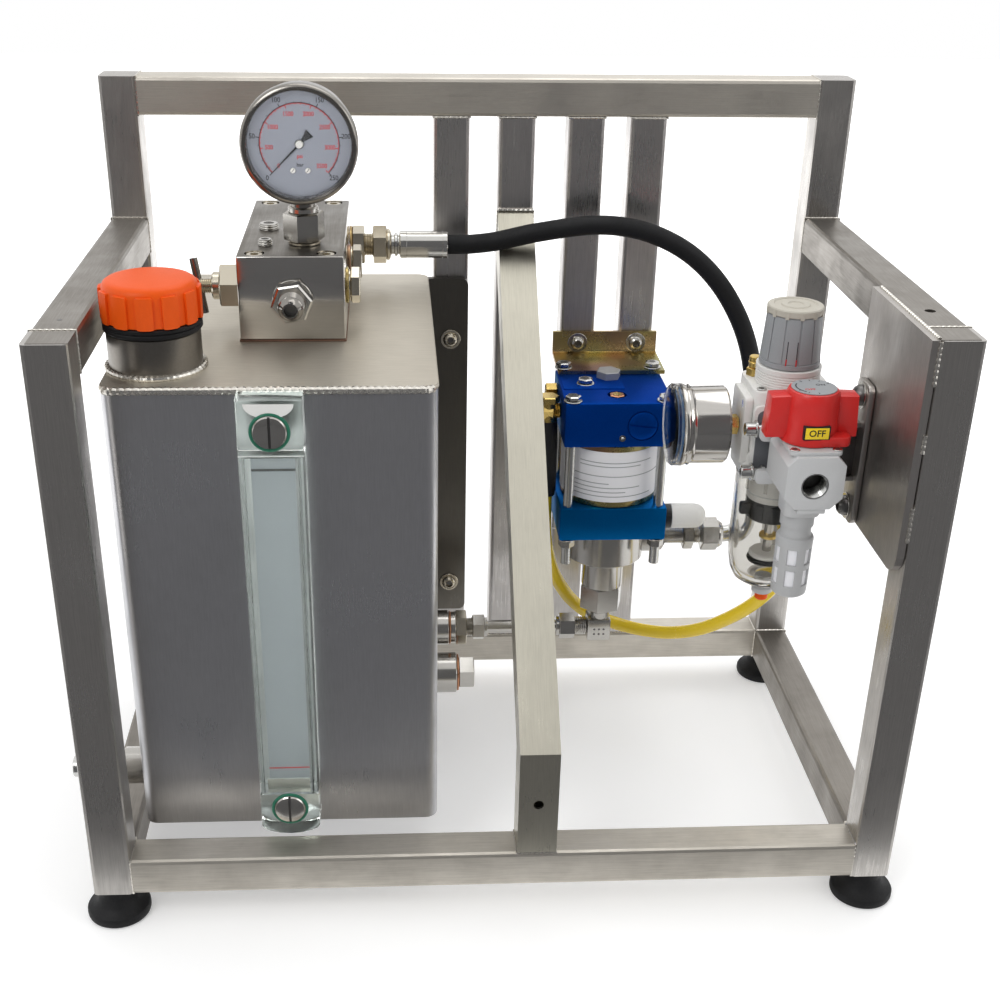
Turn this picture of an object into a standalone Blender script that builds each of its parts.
"""Air-driven hydraulic pump unit on a welded frame of square stainless tube.

The frame carries an oil tank on its left with a level gauge, a filler and a manifold block. The pump
hangs from two upright tubes to the right of a bent brace, and a filter regulator with a shut-off valve
sits on a gusset plate at the right. A rigid suction line and a hydraulic hose join pump and tank.

All sizes are real sizes. They are measured from the middle of the frame in x (right is positive), from
the front face of the front posts in y, and from the lower ends of the posts in z. The empty called
placement then stands the whole unit on the floor, with its bounding box centred on the origin.
"""
import math

import bmesh
import bpy
from mathutils import Matrix, Vector

mm = 0.001

# Fits and overlaps
touch_gap = 0.3 * mm
running_gap = 0.4 * mm
overrun = 2 * mm
joint_overlap = 1 * mm
merge_distance = 0.01 * mm

# Fineness of round pieces
large_steps = 24
medium_steps = 16
small_steps = 10
corner_segments = 2
corner_steps = 3
fine_steps = 24
hex_sides = 6
wire_resolution = 2
hose_resolution = 3
bevel_profile_share = 0.5
sharp_angle = math.radians(35)

# Square tube, and the plates at the right that take part of the frame's width
tube_size = 25 * mm
tube_wall = 2 * mm
tube_corner = 2.5 * mm
gusset_thickness = 4.7 * mm
frl_plate_thickness = 3.7 * mm

# What sits in the frame from left to right, and from front to back
tank_to_rail = 4 * mm
tank_width = 189 * mm
tank_to_pump = 127 * mm
pump_to_air_line = 91.5 * mm
air_line_to_plate = 39.5 * mm
tank_front_gap = 15 * mm
tank_depth = 234 * mm
tank_back_gap = 6 * mm
tank_height = 297 * mm
pump_to_slats = 68 * mm

# Frame, as wide, deep and tall as what it carries
frame_width = (2 * tube_size + tank_to_rail + tank_width + tank_to_pump + pump_to_air_line
               + air_line_to_plate + frl_plate_thickness + gusset_thickness + 2 * touch_gap)
half_width = frame_width / 2
post_inner = half_width - tube_size
back_front = tube_size + tank_front_gap + tank_depth + tank_back_gap
frame_depth = back_front + tube_size
rail_over_tank = 13 * mm
back_post_extra = 93 * mm
front_post_height = 2 * tube_size + tank_height + rail_over_tank
back_post_height = front_post_height + back_post_extra
post_end_plate = 8 * mm
vent_radius = 3.3 * mm
rail_vent_share = 0.12

# Centre lines
tank_left = -post_inner + tank_to_rail
tank_right = tank_left + tank_width
pump_x = tank_right + tank_to_pump
pump_y = back_front - pump_to_slats
air_line_x = pump_x + pump_to_air_line

# Upright tubes between the back rails, and the bent brace
first_slat_gap = 4 * mm
second_slat_pitch = 45 * mm
third_slat_offset = 30.4 * mm
fourth_slat_offset = 12.2 * mm
slat_lefts = (
    tank_right + first_slat_gap,
    tank_right + first_slat_gap + second_slat_pitch,
    pump_x - third_slat_offset,
    pump_x + fourth_slat_offset,
)
brace_left = slat_lefts[1]
brace_kink_height = 100 * mm
brace_rise = 5 * mm
brace_top_height = front_post_height + brace_rise
brace_vent_drop = 37.4 * mm
brace_vent_height = brace_kink_height - brace_vent_drop

# Levelling feet
foot_height = 22 * mm
foot_pad_radius = 20 * mm
foot_pad_edge = 2 * mm
foot_pad_side = 4 * mm
foot_dish_radius = 12.5 * mm
foot_dish_rise = 7 * mm
foot_collar_radius = 10.5 * mm
foot_collar_step = 2 * mm
foot_stud_radius = 5 * mm
foot_stud_reach = 24 * mm
foot_dish_height = foot_pad_edge + foot_pad_side + foot_dish_rise
foot_collar_bottom = foot_dish_height + foot_collar_step

# Oil tank
tank_front = tube_size + tank_front_gap
tank_back = tank_front + tank_depth
tank_bottom = tube_size
tank_top_height = tank_bottom + tank_height
tank_wall = 3 * mm
tank_corner = 8 * mm
tank_flange_reach_left = 24 * mm
tank_flange_reach_right = 29 * mm
tank_flange_rise = 27 * mm
tank_flange_drop = 3.5 * mm
tank_flange_left = tank_left - tank_flange_reach_left
tank_flange_right = tank_right + tank_flange_reach_right
tank_flange_bottom = tank_bottom + tank_flange_rise
tank_flange_top = tank_top_height - tank_flange_drop
tank_flange_thickness = 5 * mm
tank_flange_corner = 5 * mm
flange_bolt_inset = 12.5 * mm
flange_bolt_rise = 24.4 * mm
flange_bolt_drop = 44.5 * mm
flange_bolt_x = tank_flange_right - flange_bolt_inset
flange_bolt_heights = (tank_flange_bottom + flange_bolt_rise, tank_flange_top - flange_bolt_drop)
button_head_radius = 5.5 * mm
button_head_height = 3.5 * mm

# Filler neck and cap
filler_inset_x = 27.2 * mm
filler_inset_y = 39.7 * mm
filler_x = tank_left + filler_inset_x
filler_y = tank_front + filler_inset_y
neck_radius = 26.8 * mm
neck_wall = 2.6 * mm
neck_height = 22.7 * mm
neck_bore_radius = neck_radius - neck_wall
neck_top = tank_top_height + neck_height
seal_overhang = 1.4 * mm
seal_thickness = 5.7 * mm
seal_radius = neck_radius + seal_overhang
seal_bottom = neck_top + touch_gap
seal_top = seal_bottom + seal_thickness
cap_overhang = 1.8 * mm
cap_taper = 0.6 * mm
cap_height = 22.7 * mm
cap_bottom = seal_top + touch_gap
cap_top = cap_bottom + cap_height
cap_bottom_radius = neck_radius + cap_overhang
cap_top_radius = cap_bottom_radius - cap_taper
cap_plug_clearance = 0.8 * mm
cap_plug_depth = 17 * mm
cap_plug_radius = neck_bore_radius - cap_plug_clearance
cap_plug_bottom = cap_bottom - cap_plug_depth
cap_plug_wall = 2.4 * mm
cap_rib_count = 18
cap_rib_radius = 1.1 * mm
cap_rib_drop = 3.7 * mm
cap_rib_top = cap_top - cap_rib_drop

# Level gauge on the tank's front
gauge_bar_inset = 95.3 * mm
gauge_bar_x = tank_left + gauge_bar_inset
gauge_bar_width = 37 * mm
gauge_bar_depth = 20 * mm
gauge_bar_rise = 4.5 * mm
gauge_bar_front = tank_front - gauge_bar_depth
gauge_bar_bottom = tank_bottom + gauge_bar_rise
gauge_bar_edge = 3.5 * mm
lower_screw_rise = 19.6 * mm
upper_screw_drop = 18.9 * mm
gauge_bar_screw_heights = (gauge_bar_bottom + lower_screw_rise, tank_top_height - upper_screw_drop)
gauge_bar_screw_radius = 9.6 * mm
gauge_bar_screw_stand = 2.6 * mm
scale_width = 24.8 * mm
scale_rise = 35 * mm
scale_drop = 38.4 * mm
scale_bottom = gauge_bar_bottom + scale_rise
scale_top = tank_top_height - scale_drop
scale_thickness = 1.5 * mm
scale_depth = 12 * mm
gauge_bar_window = 3 * mm

# Ports of the tank
suction_y = pump_y
suction_rise = 45.5 * mm
suction_height = tank_bottom + suction_rise
suction_boss_radius = 12.9 * mm
suction_boss_length = 13.8 * mm
suction_boss_end = tank_right + suction_boss_length
drain_offset_y = 18 * mm
drain_rise = 17 * mm
drain_y = suction_y - drain_offset_y
drain_height = tank_bottom + drain_rise
drain_boss_radius = 15 * mm
drain_boss_length = 19 * mm
drain_boss_end = tank_right + drain_boss_length
drain_washer_radius = 13.5 * mm
drain_washer_thickness = 1.5 * mm
drain_washer_end = drain_boss_end + drain_washer_thickness
drain_hex_flats = 22 * mm
drain_hex_length = 11.7 * mm
drain_hex_end = drain_washer_end + drain_hex_length
port_bore_radius = 8.3 * mm
port_thread_radius = 7.8 * mm
port_thread_length = 14 * mm
return_inset = 20 * mm
return_rise = 32 * mm
return_y = tank_front + return_inset
return_height = tank_bottom + return_rise
return_boss_radius = 12 * mm
return_boss_length = 13 * mm
return_plug_flats = 19 * mm
return_plug_length = 27 * mm
return_plug_end = tank_left - return_boss_length - return_plug_length
return_tail_radius = 7 * mm
return_tail_length = 6 * mm
return_end = return_plug_end - return_tail_length

# Suction line, from the tank to the elbow under the pump
suction_collar_radius = 11.5 * mm
suction_collar_length = 5 * mm
suction_collar_end = suction_boss_end + suction_collar_length
suction_hex_flats = 22 * mm
suction_hex_length = 8.2 * mm
suction_hex_end = suction_collar_end + suction_hex_length
suction_thread_radius = 7 * mm
suction_nut_flats = 17 * mm
first_nut_gap = 4.5 * mm
first_nut_length = 11.2 * mm
first_nut_start = suction_hex_end + first_nut_gap
first_nut_end = first_nut_start + first_nut_length
suction_tube_radius = 4.75 * mm
suction_bore_radius = 3.2 * mm
elbow_offset = 9.9 * mm
second_nut_gap = 8.8 * mm
second_nut_length = 11.7 * mm
suction_end = pump_x - elbow_offset
second_nut_end = suction_end - second_nut_gap
second_nut_start = second_nut_end - second_nut_length

# Manifold block on the tank
manifold_inset_left = 71.5 * mm
manifold_width = 63.8 * mm
manifold_inset_back = 2 * mm
manifold_length = 149.5 * mm
manifold_height = 52 * mm
manifold_left = tank_left + manifold_inset_left
manifold_right = manifold_left + manifold_width
manifold_back = tank_back - manifold_inset_back
manifold_front = manifold_back - manifold_length
manifold_top = tank_top_height + manifold_height
manifold_edge = 1 * mm
manifold_screw_inset_x = 10.5 * mm
manifold_screw_inset_y = 8 * mm
manifold_screw_radius = 4.8 * mm
manifold_pocket_radius = 6 * mm
manifold_pocket_depth = 7 * mm
manifold_screw_height = 5 * mm
large_plug_inset_x = 14.8 * mm
large_plug_inset_y = 69.5 * mm
large_plug_radius = 6.3 * mm
small_plug_inset_x = 15.5 * mm
small_plug_inset_y = 28.5 * mm
small_plug_radius = 4.5 * mm
manifold_plugs = (
    (manifold_left + large_plug_inset_x, manifold_front + large_plug_inset_y, large_plug_radius),
    (manifold_left + small_plug_inset_x, manifold_front + small_plug_inset_y, small_plug_radius),
)
manifold_plug_height = 3 * mm
port_drop = 26 * mm
port_height = manifold_top - port_drop
side_plug_insets = (31.5 * mm, 87.5 * mm)
side_plug_ys = tuple(manifold_front + inset for inset in side_plug_insets)
side_plug_flats = 19 * mm
side_plug_length = 9 * mm
left_plug_inset = 32 * mm
left_plug_y = manifold_back - left_plug_inset
left_plug_flats = 19 * mm
left_plug_length = 7 * mm

# Pressure gauge on the manifold
dial_gauge_inset_x = 39.2 * mm
dial_gauge_inset_y = 31.5 * mm
dial_gauge_x = manifold_left + dial_gauge_inset_x
dial_gauge_y = manifold_front + dial_gauge_inset_y
gauge_adaptor_flats = 22 * mm
gauge_adaptor_height = 23 * mm
gauge_adaptor_top = manifold_top + gauge_adaptor_height
gauge_adaptor_spigot_radius = 8 * mm
gauge_adaptor_spigot_length = 9 * mm
gauge_adaptor_bore_radius = 5.4 * mm
dial_rise = 38.3 * mm
dial_height = gauge_adaptor_top + dial_rise
bezel_radius = 34.5 * mm
bezel_depth = 9 * mm
bezel_lip = 3.2 * mm
gauge_front_offset = 19 * mm
gauge_case_depth = 32 * mm
gauge_front = dial_gauge_y - gauge_front_offset
gauge_case_radius = 32.5 * mm
gauge_case_back = gauge_front + gauge_case_depth
gauge_dial_depth = 7 * mm
gauge_boss_radius = 2.5 * mm
gauge_boss_length = 2.4 * mm
gauge_stem_radius = 7.5 * mm
gauge_stem_thread_radius = 5 * mm
gauge_stem_thread_length = 10 * mm
needle_length = 25 * mm
needle_tail = 9 * mm
needle_width = 2.2 * mm
needle_tip_share = 0.5
needle_thickness = 1 * mm
needle_hub_radius = 4 * mm
needle_pin_gap = 0.4 * mm

# Release valve on the manifold's left side
release_inset = 30.5 * mm
release_y = manifold_front + release_inset
release_hex_flats = 25 * mm
release_hex_length = 13 * mm
release_neck_radius = 8.5 * mm
release_neck_length = 5 * mm
release_stem_radius = 5 * mm
release_stem_depth = 15 * mm
release_stem_reach = 27.5 * mm
release_stem_end = manifold_left - release_stem_reach
release_bar_radius = 2.5 * mm
release_bar_half = 17 * mm
release_bar_inset = 3.5 * mm
release_bar_tilt = math.radians(12)

# Front outlet of the manifold
outlet_inset = 32.5 * mm
outlet_x = manifold_left + outlet_inset
outlet_hex_flats = 22 * mm
outlet_hex_length = 10.5 * mm
outlet_thread_radius = 8 * mm
outlet_cone_radius = 6 * mm
outlet_cone_length = 5 * mm
outlet_reach = 24.5 * mm
outlet_front = manifold_front - outlet_reach
outlet_thread_front = outlet_front + outlet_cone_length
outlet_bore_radius = 3.6 * mm
outlet_bore_depth = 30 * mm

# Pump body, hung from the third and fourth upright tubes and stacked up from its inlet elbow
inlet_block_size = 17.4 * mm
inlet_neck_radius = 7.5 * mm
inlet_passage_radius = 3.2 * mm
inlet_hex_flats = 28 * mm
inlet_hex_rise = 17.5 * mm
inlet_hex_height = 19 * mm
lower_body_radius = 15 * mm
lower_body_height = 25 * mm
high_pressure_radius = 28 * mm
high_pressure_height = 26.3 * mm
base_block_height = 24.4 * mm
barrel_gap_height = 45.8 * mm
valve_block_height = 31.5 * mm
inlet_hex_bottom = suction_height + inlet_hex_rise
lower_body_bottom = inlet_hex_bottom + inlet_hex_height
high_pressure_bottom = lower_body_bottom + lower_body_height
base_block_bottom = high_pressure_bottom + high_pressure_height
base_block_top = base_block_bottom + base_block_height
valve_block_bottom = base_block_top + barrel_gap_height
valve_block_top = valve_block_bottom + valve_block_height
valve_block_half_width = 37 * mm
pump_half_depth = 35 * mm
valve_block_left = pump_x - valve_block_half_width
valve_block_right = pump_x + valve_block_half_width
base_block_left = valve_block_left - 2 * touch_gap
base_block_right = valve_block_right + touch_gap
pump_front = pump_y - pump_half_depth
pump_back = pump_y + pump_half_depth
valve_block_edge = 3 * mm
tie_rod_offset = 31.6 * mm
tie_rod_inset_front = 5.5 * mm
tie_rod_inset_back = 5 * mm
tie_rod_xs = (pump_x - tie_rod_offset, pump_x + tie_rod_offset)
tie_rod_ys = (pump_front + tie_rod_inset_front, pump_back - tie_rod_inset_back)
tie_rod_radius = 3.5 * mm
tie_rod_tail = 20.3 * mm
tie_rod_bottom = base_block_bottom - tie_rod_tail
tie_nut_flats = 10 * mm
tie_nut_height = 5.5 * mm
tie_head_radius = 5.2 * mm
tie_head_height = 4.5 * mm
valve_port_rise = 15.5 * mm
front_plug_offset = 16 * mm
front_plug_x = pump_x + front_plug_offset
front_plug_height = valve_block_bottom + valve_port_rise
front_plug_radius = 10.6 * mm
front_plug_stand = 2.6 * mm
top_plug_offset = 14 * mm
top_plug_y = pump_y + top_plug_offset
top_plug_flats = 12 * mm
top_plug_height = 3.5 * mm
top_screw_offset_x = 19 * mm
top_screw_offset_y = 5 * mm
top_screw_x = pump_x - top_screw_offset_x
top_screw_y = pump_y + top_screw_offset_y
top_recess_offset = 17 * mm
top_recess_y = pump_y - top_recess_offset
top_recess_radius = 5.5 * mm
top_recess_depth = 3 * mm
brass_plug_offset = 19 * mm
brass_plug_drop = 10 * mm
brass_plug_y = pump_y + brass_plug_offset
brass_plug_height = valve_block_top - brass_plug_drop
brass_plug_flats = 9 * mm
brass_plug_reach = 8.5 * mm
brass_plug_end = valve_block_left - brass_plug_reach
spool_offset = 17 * mm
spool_x = pump_x - spool_offset
spool_radius = 5.6 * mm
spool_bore_radius = spool_radius + running_gap
spool_length = 40 * mm
spool_travel = 11 * mm
spool_bore_inset = 10 * mm
spool_bore_front = pump_front + spool_bore_inset
spool_bore_back = spool_bore_front + spool_length + spool_travel
spool_height = front_plug_height
spool_waist_radius = 3.5 * mm
spool_land_share = 0.24
spool_end_gap = 1 * mm
air_passage_radius = 2.5 * mm
air_passage_offset = 2 * mm
air_passage_y = pump_y + air_passage_offset
cylinder_radius = 34.5 * mm
cylinder_wall = 2.9 * mm
cylinder_bore_radius = cylinder_radius - cylinder_wall
piston_clearance = 0.5 * mm
piston_radius = cylinder_bore_radius - piston_clearance
piston_thickness = 12 * mm
piston_top_gap = 1.5 * mm
piston_rod_radius = 7 * mm
piston_rod_reach = 36.3 * mm
piston_rod_bottom = base_block_bottom - piston_rod_reach
rod_bore_radius = piston_rod_radius + running_gap
rod_bore_rise = 4 * mm
rod_bore_bottom = inlet_hex_bottom + rod_bore_rise
outlet_boss_offset = 2 * mm
outlet_boss_rise = 13 * mm
outlet_boss_y = pump_y + outlet_boss_offset
outlet_boss_height = high_pressure_bottom + outlet_boss_rise
outlet_boss_radius = 10 * mm
outlet_boss_end = base_block_right + running_gap
pump_outlet_flats = 22 * mm
pump_outlet_hex_length = 12.3 * mm
pump_outlet_hex_end = outlet_boss_end + pump_outlet_hex_length
pump_outlet_thread_radius = 6.8 * mm
pump_outlet_thread_length = 12 * mm
pump_outlet_second_flats = 19 * mm
pump_outlet_second_length = 8.5 * mm
pump_outlet_second_start = pump_outlet_hex_end + pump_outlet_thread_length
pump_outlet_end = pump_outlet_second_start + pump_outlet_second_length
elbow_nut_length = 16.2 * mm
elbow_nut_start = pump_outlet_end + touch_gap
elbow_nut_end = elbow_nut_start + elbow_nut_length
elbow_nut_flats = 21 * mm
elbow_tube_radius = 6 * mm
elbow_bend_steps = 5
elbow_bend_share = 0.9
bracket_reach_left = 36 * mm
bracket_reach_right = 40 * mm
bracket_lap = 11.5 * mm
bracket_rise = 18.6 * mm
bracket_bolt_rise = 10.5 * mm
bracket_left = pump_x - bracket_reach_left
bracket_right = pump_x + bracket_reach_right
bracket_front = pump_back - bracket_lap
bracket_thickness = 3 * mm
bracket_top = valve_block_top + bracket_rise
bracket_bolts = (
    (slat_lefts[2] + tube_size / 2, valve_block_top + bracket_bolt_rise),
    (slat_lefts[3] + tube_size / 2, valve_block_top + bracket_bolt_rise),
)
muffler_offset = 21 * mm
muffler_rise = 12.2 * mm
muffler_y = pump_y - muffler_offset
muffler_height = base_block_bottom + muffler_rise
muffler_collar_radius = 9 * mm
muffler_collar_length = 10.7 * mm
muffler_length = 20 * mm
muffler_collar_end = base_block_right + muffler_collar_length
muffler_radius = 8 * mm
muffler_end = muffler_collar_end + muffler_length
muffler_round = 3 * mm

# Hydraulic hose and its ends
hose_inset = 18 * mm
hose_y = manifold_back - hose_inset
hose_diameter = 13 * mm
hose_adaptor_flats = 24 * mm
hose_adaptor_length = 13.7 * mm
hose_adaptor_end = manifold_right + hose_adaptor_length
hose_nut_flats = 22 * mm
hose_nut_gap = 2 * mm
hose_nut_length = 13 * mm
hose_nut_start = hose_adaptor_end + hose_nut_gap
hose_nut_end = hose_nut_start + hose_nut_length
hose_neck_radius = 7 * mm
hose_neck_length = 5 * mm
hose_ferrule_radius = 9.25 * mm
hose_ferrule_length = 33 * mm
hose_ferrule_start = hose_nut_end + hose_neck_length
hose_ferrule_end = hose_ferrule_start + hose_ferrule_length
hose_end_reach = 15 * mm
hose_end_rise = 20 * mm
hose_end_length = 35 * mm
hose_end_x = elbow_nut_end + hose_end_reach
hose_end_bottom = outlet_boss_height + hose_end_rise
hose_end_top = hose_end_bottom + hose_end_length
hose_point_spacing = 28 * mm

# Air inlet of the pump and its yellow tube
air_fitting_offset_x = 8 * mm
air_fitting_offset_y = 4 * mm
air_fitting_rise = 18.5 * mm
air_fitting_x = valve_block_left - air_fitting_offset_x
air_fitting_y = pump_y - air_fitting_offset_y
air_fitting_height = valve_block_bottom + air_fitting_rise
air_fitting_radius = 7.4 * mm
air_fitting_cap = 7 * mm
air_fitting_drop = 66 * mm
air_fitting_top = air_fitting_height + air_fitting_cap
air_fitting_bottom = air_fitting_height - air_fitting_drop
air_fitting_hex_flats = 14 * mm
air_fitting_hex_reach = 7.5 * mm
air_fitting_hex_start = air_fitting_x - air_fitting_hex_reach
air_tube_diameter = 10 * mm
air_tube_spacing = 22 * mm

# Heights and depths that the air line's pieces share
air_line_drop = 96.5 * mm
air_line_height = front_post_height - air_line_drop
valve_front = 30 * mm
valve_length = 49.5 * mm
valve_back = valve_front + valve_length
spacer_thickness = 10.1 * mm
spacer_front = valve_back + running_gap
spacer_back = spacer_front + spacer_thickness
regulator_front = spacer_back + touch_gap

# Gusset plate inside the right front corner
gusset_front = 1.5 * mm
gusset_back = 106 * mm
gusset_drop = 45.5 * mm
gusset_bottom = air_line_height - gusset_drop
gusset_corner = 12 * mm

# Filter regulator
regulator_depth = 48.7 * mm
regulator_centre_inset = 21.7 * mm
regulator_back = regulator_front + regulator_depth
regulator_y = regulator_front + regulator_centre_inset
regulator_half_width = 29 * mm
regulator_drop = 23.5 * mm
regulator_rise = 34.5 * mm
regulator_bottom = air_line_height - regulator_drop
regulator_top = air_line_height + regulator_rise
regulator_edge = 5 * mm
ring_radius = 20 * mm
ring_height = 12.7 * mm
ring_top = regulator_top + ring_height
adjusting_radius = 6 * mm
screw_bore_radius = adjusting_radius + running_gap
screw_bore_depth = 18 * mm
screw_bore_bottom = regulator_top - screw_bore_depth
screw_floor_gap = 4 * mm
adjusting_bottom = screw_bore_bottom + screw_floor_gap
adjusting_reach = 21.3 * mm
adjusting_top = ring_top + adjusting_reach
adjusting_flat = 1.2 * mm
knob_bottom_radius = 18.7 * mm
knob_top_radius = 16.8 * mm
knob_height = 37.4 * mm
knob_bottom = ring_top + touch_gap
knob_top = knob_bottom + knob_height
knob_bore_radius = 6.5 * mm
knob_bore_room = 8 * mm
knob_bore_top = adjusting_top + knob_bore_room
knob_groove_count = 12
knob_groove_radius = 1.1 * mm
knob_groove_drop = 5.4 * mm
knob_groove_top = knob_top - knob_groove_drop
ring_plug_offset_x = 17.5 * mm
ring_plug_offset_y = 14 * mm
ring_plug_x = air_line_x - ring_plug_offset_x
ring_plug_y = regulator_y + ring_plug_offset_y
ring_plug_radius = 4 * mm
ring_plug_height = 8 * mm
air_port_radius = 7.7 * mm
air_port_depth = 14 * mm
rear_elbow_reach = 21 * mm
rear_elbow_y = regulator_back + rear_elbow_reach
rear_elbow_radius = 8.2 * mm
rear_elbow_rise = 9.5 * mm
rear_elbow_drop = 24.2 * mm
rear_elbow_top = air_line_height + rear_elbow_rise
rear_elbow_bottom = air_line_height - rear_elbow_drop
rear_elbow_arm_radius = 8.8 * mm

# Filter bowl, element and drain knob
bowl_radius = 25.5 * mm
bowl_wall = 2.5 * mm
bowl_height = 86.6 * mm
bowl_shoulder_rise = 7 * mm
bowl_rim_top = regulator_bottom - running_gap
bowl_bottom = bowl_rim_top - bowl_height
bowl_shoulder = bowl_bottom + bowl_shoulder_rise
bowl_lower_radius = 19 * mm
drain_knob_radius = 7.5 * mm
drain_knob_neck_height = 2 * mm
drain_knob_height = 12 * mm
drain_knob_groove = 2 * mm
drain_knob_neck = bowl_bottom - drain_knob_neck_height
drain_knob_bottom = drain_knob_neck - drain_knob_height
element_radius = 12 * mm
element_rise = 31 * mm
element_bottom = bowl_bottom + element_rise
element_stem_radius = 5 * mm
element_stem_length = 3 * mm
baffle_radius = 19.5 * mm
baffle_thickness = 4 * mm
baffle_top = element_bottom - element_stem_length
baffle_bottom = baffle_top - baffle_thickness
holder_radius = 17 * mm
holder_height = 14 * mm
holder_bottom = regulator_bottom - holder_height

# Air gauge on the regulator's left side
air_gauge_offset = 4 * mm
air_gauge_rise = 8.5 * mm
air_gauge_y = regulator_y - air_gauge_offset
air_gauge_height = air_line_height + air_gauge_rise
air_gauge_radius = 26 * mm
air_gauge_stem_length = 8.5 * mm
air_gauge_depth = 36 * mm
air_gauge_back = air_line_x - regulator_half_width - air_gauge_stem_length
air_gauge_front = air_gauge_back - air_gauge_depth
air_gauge_back_radius = 23 * mm
air_gauge_stem_radius = 6.5 * mm
air_gauge_dial_depth = 6 * mm
air_needle_length = 18 * mm
air_needle_tail = 7 * mm

# Shut-off valve with its knob and silencer
valve_centre_inset = 26 * mm
valve_y = valve_front + valve_centre_inset
valve_half_width = 17.5 * mm
valve_drop = 15.5 * mm
valve_rise = 19 * mm
valve_bottom = air_line_height - valve_drop
valve_top = air_line_height + valve_rise
valve_chamfer = 6 * mm
valve_spindle_radius = 6 * mm
valve_spindle_height = 8.5 * mm
valve_spindle_top = valve_top + valve_spindle_height
valve_knob_gap = 1 * mm
valve_knob_height = 31.5 * mm
valve_knob_bottom = valve_top + valve_knob_gap
valve_knob_top = valve_knob_bottom + valve_knob_height
valve_knob_radius = 17 * mm
valve_knob_bore_radius = valve_spindle_radius + running_gap
valve_knob_bore_room = 2 * mm
valve_knob_bore_top = valve_spindle_top + valve_knob_bore_room
valve_knob_wing = 27 * mm
valve_knob_wing_width = 13 * mm
valve_knob_wing_rise = 13.5 * mm
valve_knob_wing_bottom = valve_knob_bottom + valve_knob_wing_rise
valve_knob_edge = 2.5 * mm
silencer_radius = 10.5 * mm
silencer_neck_radius = 7 * mm
silencer_neck_length = 13 * mm
silencer_length = 54 * mm
silencer_top = valve_bottom - silencer_neck_length
silencer_bottom = silencer_top - silencer_length
silencer_slot_width = 2.4 * mm
silencer_slot_depth = 2.2 * mm
silencer_slot_margin = 6 * mm
silencer_slot_top = silencer_top - silencer_slot_margin
silencer_slot_bottom = silencer_bottom + silencer_slot_margin

# Bracket plate on the gusset, with the spacer between valve and regulator
frl_plate_lap = 6.9 * mm
frl_plate_depth = 24 * mm
frl_plate_drop = 46.5 * mm
frl_plate_rise = 44.5 * mm
frl_plate_left = air_line_x + air_line_to_plate
frl_plate_right = frl_plate_left + frl_plate_thickness
frl_plate_front = spacer_front - frl_plate_lap
frl_plate_back = frl_plate_front + frl_plate_depth
frl_plate_bottom = air_line_height - frl_plate_drop
frl_plate_top = air_line_height + frl_plate_rise
frl_plate_corner = 4 * mm
frl_bolt_margin = 9 * mm
frl_bolt_y = (frl_plate_front + frl_plate_back) / 2
frl_bolt_heights = (frl_plate_bottom + frl_bolt_margin, frl_plate_top - frl_bolt_margin)
frl_bolt_radius = 6.5 * mm
frl_bolt_stand = 5 * mm
spacer_reach = 23.5 * mm
spacer_half_height = 19.5 * mm
spacer_left = air_line_x - spacer_reach
spacer_bottom = air_line_height - spacer_half_height
spacer_top = air_line_height + spacer_half_height
spacer_bore_radius = air_port_radius
clamp_bolt_radius = 4 * mm
clamp_bolt_length = 8 * mm
clamp_bolt_offset = 14 * mm
clamp_bolt_heights = (air_line_height - clamp_bolt_offset, air_line_height + clamp_bolt_offset)

RIGHT = Vector((1, 0, 0))
LEFT = Vector((-1, 0, 0))
FRONT = Vector((0, -1, 0))
BACK = Vector((0, 1, 0))
UP = Vector((0, 0, 1))
DOWN = Vector((0, 0, -1))

foot_reach = half_width - tube_size / 2 + foot_pad_radius
placement_x = -(return_end + foot_reach) / 2

# The hose's route from the manifold end to the pump end
hose_route = (
    (-23.7 * mm, 254 * mm, 348 * mm),
    (-10 * mm, 254 * mm, 348 * mm),
    (10 * mm, 253 * mm, 350.5 * mm),
    (38 * mm, 251 * mm, 357 * mm),
    (75 * mm, 248.5 * mm, 362.5 * mm),
    (104 * mm, 246 * mm, 360.5 * mm),
    (128 * mm, 243 * mm, 352.5 * mm),
    (148 * mm, 240 * mm, 340 * mm),
    (165 * mm, 237 * mm, 322.5 * mm),
    (178.5 * mm, 233 * mm, 301 * mm),
    (187 * mm, 229 * mm, 279 * mm),
    (191 * mm, 223.5 * mm, 256 * mm),
    (192 * mm, 217.5 * mm, 235 * mm),
    (192 * mm, 214 * mm, 215 * mm),
    (192 * mm, 214 * mm, 200.3 * mm),
)

# The air tube's route from the pump's inlet to the regulator's rear elbow
air_tube_route = (
    (45 * mm, 208 * mm, 180.7 * mm),
    (45 * mm, 208 * mm, 170 * mm),
    (46 * mm, 211 * mm, 150 * mm),
    (49 * mm, 216 * mm, 132 * mm),
    (53.8 * mm, 223 * mm, 114 * mm),
    (61 * mm, 230 * mm, 97 * mm),
    (71.5 * mm, 236 * mm, 80 * mm),
    (86 * mm, 239.5 * mm, 66 * mm),
    (104 * mm, 239 * mm, 58 * mm),
    (125 * mm, 230 * mm, 56 * mm),
    (145 * mm, 215.5 * mm, 61 * mm),
    (164.5 * mm, 201 * mm, 72 * mm),
    (183 * mm, 188.5 * mm, 88.5 * mm),
    (197.5 * mm, 177.5 * mm, 107 * mm),
    (207.5 * mm, 168 * mm, 127 * mm),
    (211.5 * mm, 161 * mm, 148 * mm),
    (209 * mm, 157.5 * mm, 168 * mm),
    (202 * mm, 157 * mm, 187 * mm),
    (192 * mm, 158.5 * mm, 204 * mm),
    (184.5 * mm, 159.7 * mm, 219 * mm),
    (181.5 * mm, 160 * mm, 229 * mm),
    (181.5 * mm, 160 * mm, 239 * mm),
)


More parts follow.
